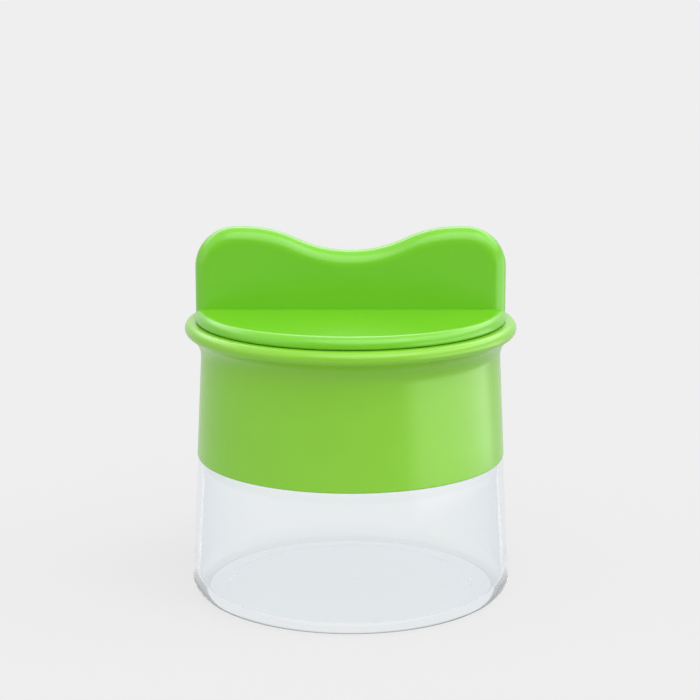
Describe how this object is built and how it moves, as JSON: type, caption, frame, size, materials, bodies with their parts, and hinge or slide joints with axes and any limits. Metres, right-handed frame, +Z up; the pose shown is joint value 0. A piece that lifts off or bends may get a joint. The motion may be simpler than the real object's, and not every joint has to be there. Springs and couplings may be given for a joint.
{
  "type": "hand-turned vegetable spiralizer",
  "caption": "Hand-turned spiral vegetable cutter: a toothed holder with a wavy grip turns a vegetable on the blade of a round head that screws onto a clear cup for the ribbons.",
  "frame": {"origin": "centre of the container's base, on the surface that it stands on", "axes": "+Z up along the axis that the head and the holder turn about; +X along the grip plate, to the right seen from the front; the front is -Y"},
  "size_m": [0.09, 0.09, 0.1013],
  "materials": {
    "green_plastic": "bright green moulded plastic, satin gloss",
    "deep_green_plastic": "deeper green moulded plastic, satin gloss",
    "clear_plastic": "clear moulded plastic, polished",
    "bright_steel": "plain stainless steel",
    "blade_steel": "ground stainless steel, bright along the edge"
  },
  "bodies": {
    "container": {"container": "clear_plastic"},
    "head_axis": {"centre_pin": "bright_steel"},
    "head": {"blade_platform": "green_plastic", "blade_rivet_1": "bright_steel", "blade_rivet_2": "bright_steel", "feed_sleeve": "green_plastic", "head_ring": "green_plastic", "platform_screw_1": "bright_steel", "platform_screw_2": "bright_steel", "platform_screw_3": "bright_steel", "slicing_blade": "blade_steel"},
    "holder_axis": {"holder_pin": "bright_steel"},
    "holder": {"grip_shell": "green_plastic", "holder_screw_1": "bright_steel", "holder_screw_2": "bright_steel", "holder_screw_3": "bright_steel", "holder_screw_4": "bright_steel", "prong_1": "bright_steel", "prong_2": "bright_steel", "prong_3": "bright_steel", "prong_4": "bright_steel", "tooth_ring": "deep_green_plastic"}
  },
  "joints": [
    {"name": "head_rise", "type": "slide", "parent": "container", "child": "head_axis", "axis": [0, 0, 1], "range_m": [0, 0.0135]},
    {"name": "head_unscrew", "type": "hinge", "parent": "head_axis", "child": "head", "pos_m": [0, 0, 0.05], "axis": [0, 0, 1], "range_deg": [0, 540]},
    {"name": "holder_lift", "type": "slide", "parent": "head", "child": "holder_axis", "axis": [0, 0, 1], "range_m": [0, 0.0415]},
    {"name": "holder_spin", "type": "hinge", "parent": "holder_axis", "child": "holder", "pos_m": [0, 0, 0.0745], "axis": [0, 0, 1], "continuous": true}
  ],
  "couplings": [
    {"joint": "head_rise", "follows": "head_unscrew", "m_per_rad": 0.0014324}
  ]
}
